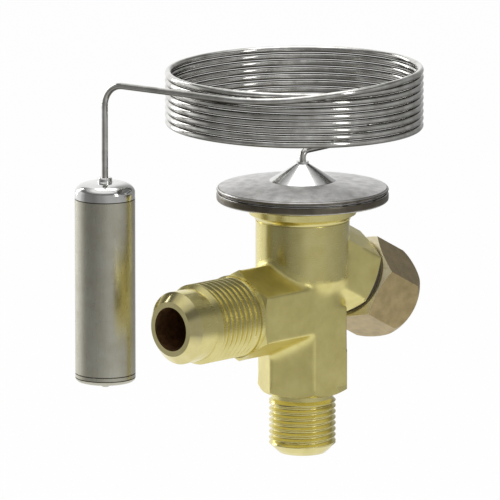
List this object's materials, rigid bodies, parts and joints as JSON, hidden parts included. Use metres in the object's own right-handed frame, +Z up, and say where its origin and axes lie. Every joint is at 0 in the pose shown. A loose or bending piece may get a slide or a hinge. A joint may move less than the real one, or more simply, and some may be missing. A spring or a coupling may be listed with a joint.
{
  "type": "thermostatic expansion valve",
  "caption": "Flare-fitting expansion valve: forged brass angle body, capped setting spindle, diaphragm element, coiled capillary and sensing bulb.",
  "frame": {"origin": "centre of the inlet's end face, at the small end of its flare cone", "axes": "+Z up the body's column, from the inlet to the diaphragm element; the outlet points along -X; the setting spindle leans down towards +X; the bulb hangs at -X +Y"},
  "size_m": [0.0785, 0.0659, 0.0931],
  "materials": {
    "forged_brass": "satin forged and machined brass, pale olive yellow",
    "turned_brass": "fine turned brass",
    "cap_brass": "darker machined brass",
    "copper_seal": "soft annealed copper",
    "hard_steel": "ground hardened steel",
    "spring_steel": "drawn spring steel",
    "sheet_steel": "drawn stainless sheet, welded rim",
    "bright_steel": "bright polished stainless",
    "tube_steel": "bright drawn stainless tube",
    "bulb_steel": "satin drawn stainless",
    "seal_rubber": "moulded seal rubber",
    "gasket_fibre": "dark sealing fibre"
  },
  "bodies": {
    "valve": {"valve_body": "forged_brass", "orifice_seal": "copper_seal", "orifice_holder": "turned_brass", "cone_spring": "spring_steel", "cone_spring_cup": "turned_brass", "strainer_ring": "turned_brass", "inlet_strainer": "turned_brass", "push_rod_bush": "turned_brass", "superheat_spring": "spring_steel", "diaphragm": "sheet_steel", "element_lower_cover": "sheet_steel", "element_upper_cover": "sheet_steel", "charge_cone": "bright_steel", "capillary_tube": "tube_steel", "bulb_shell": "bulb_steel", "bulb_top_cap": "bright_steel", "bulb_bottom_cap": "bulb_steel", "spindle_washer": "turned_brass", "spindle_gland_nut": "turned_brass"},
    "stem": {"diaphragm_pad": "turned_brass", "push_rod": "hard_steel", "valve_cone": "hard_steel"},
    "seat": {"spring_seat": "turned_brass"},
    "spindle_ring": {"spindle_seal_ring": "seal_rubber"},
    "spindle": {"setting_spindle": "turned_brass"},
    "cap_ring": {"cap_gasket": "gasket_fibre"},
    "cap": {"cap_nut": "cap_brass"}
  },
  "joints": [
    {"name": "stem_lift", "type": "slide", "parent": "valve", "child": "stem", "axis": [0, 0, -1], "range_m": [0, 0.0005], "stiffness_N_per_m": 3000, "springref_m": -0.002, "deforming": ["superheat_spring", "cone_spring"]},
    {"name": "spindle_turn", "type": "hinge", "parent": "valve", "child": "spindle_ring", "pos_m": [0, 0, 0.0486], "axis": [0.8829, 0, -0.4695], "range_deg": [-540.1, 540.1]},
    {"name": "spindle_travel", "type": "slide", "parent": "spindle_ring", "child": "spindle", "axis": [0.8829, 0, -0.4695], "range_m": [-0.0015, 0.0015]},
    {"name": "seat_lift", "type": "slide", "parent": "valve", "child": "seat", "axis": [0, 0, 1], "range_m": [-0.00071, 0.00071], "deforming": ["superheat_spring"]},
    {"name": "cap_turn", "type": "hinge", "parent": "valve", "child": "cap_ring", "pos_m": [0, 0, 0.0486], "axis": [0.8829, 0, -0.4695], "range_deg": [0, 2160.2]},
    {"name": "cap_lift", "type": "slide", "parent": "cap_ring", "child": "cap", "axis": [0.8829, 0, -0.4695], "range_m": [0, 0.009]}
  ],
  "couplings": [
    {"joint": "spindle_turn", "follows": "spindle_travel", "rad_per_m": 6283.2},
    {"joint": "seat_lift", "follows": "spindle_travel", "ratio": -0.46947},
    {"joint": "cap_turn", "follows": "cap_lift", "rad_per_m": 4188.8}
  ]
}
